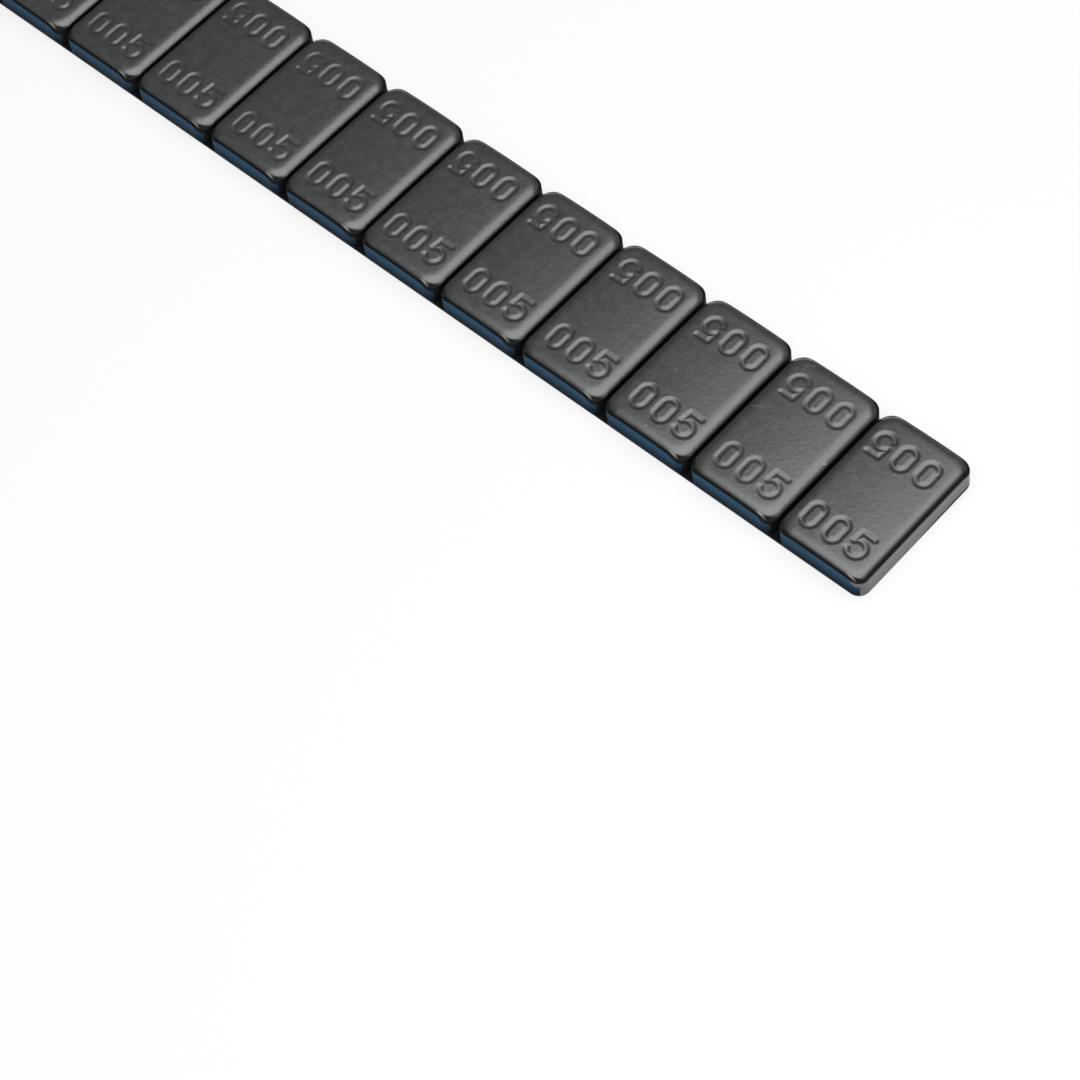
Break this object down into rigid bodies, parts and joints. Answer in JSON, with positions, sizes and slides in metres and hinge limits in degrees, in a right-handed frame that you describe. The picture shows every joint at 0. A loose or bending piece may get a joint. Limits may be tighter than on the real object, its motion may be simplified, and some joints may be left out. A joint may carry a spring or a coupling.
{
  "type": "wheel balance weight",
  "caption": "Stick-on wheel balance weight: a strip of black-coated pressed steel pads in a row on one double-sided tape with a blue peel-off liner, parted between pads to set the mass.",
  "frame": {"origin": "middle of the strip on the underside of the liner", "axes": "+X along the strip, +Y across it, +Z out of the coated faces"},
  "size_m": [0.1458, 0.019, 0.0036],
  "materials": {
    "coated_steel": "satin",
    "tape": "matte",
    "liner": "satin"
  },
  "bodies": {
    "root": {"weight_01": "coated_steel", "weight_02": "coated_steel", "weight_03": "coated_steel", "weight_04": "coated_steel", "weight_05": "coated_steel", "weight_06": "coated_steel", "weight_07": "coated_steel", "weight_08": "coated_steel", "weight_09": "coated_steel", "weight_10": "coated_steel", "weight_11": "coated_steel", "weight_12": "coated_steel", "adhesive_tape": "tape", "release_liner": "liner"}
  },
  "joints": []
}
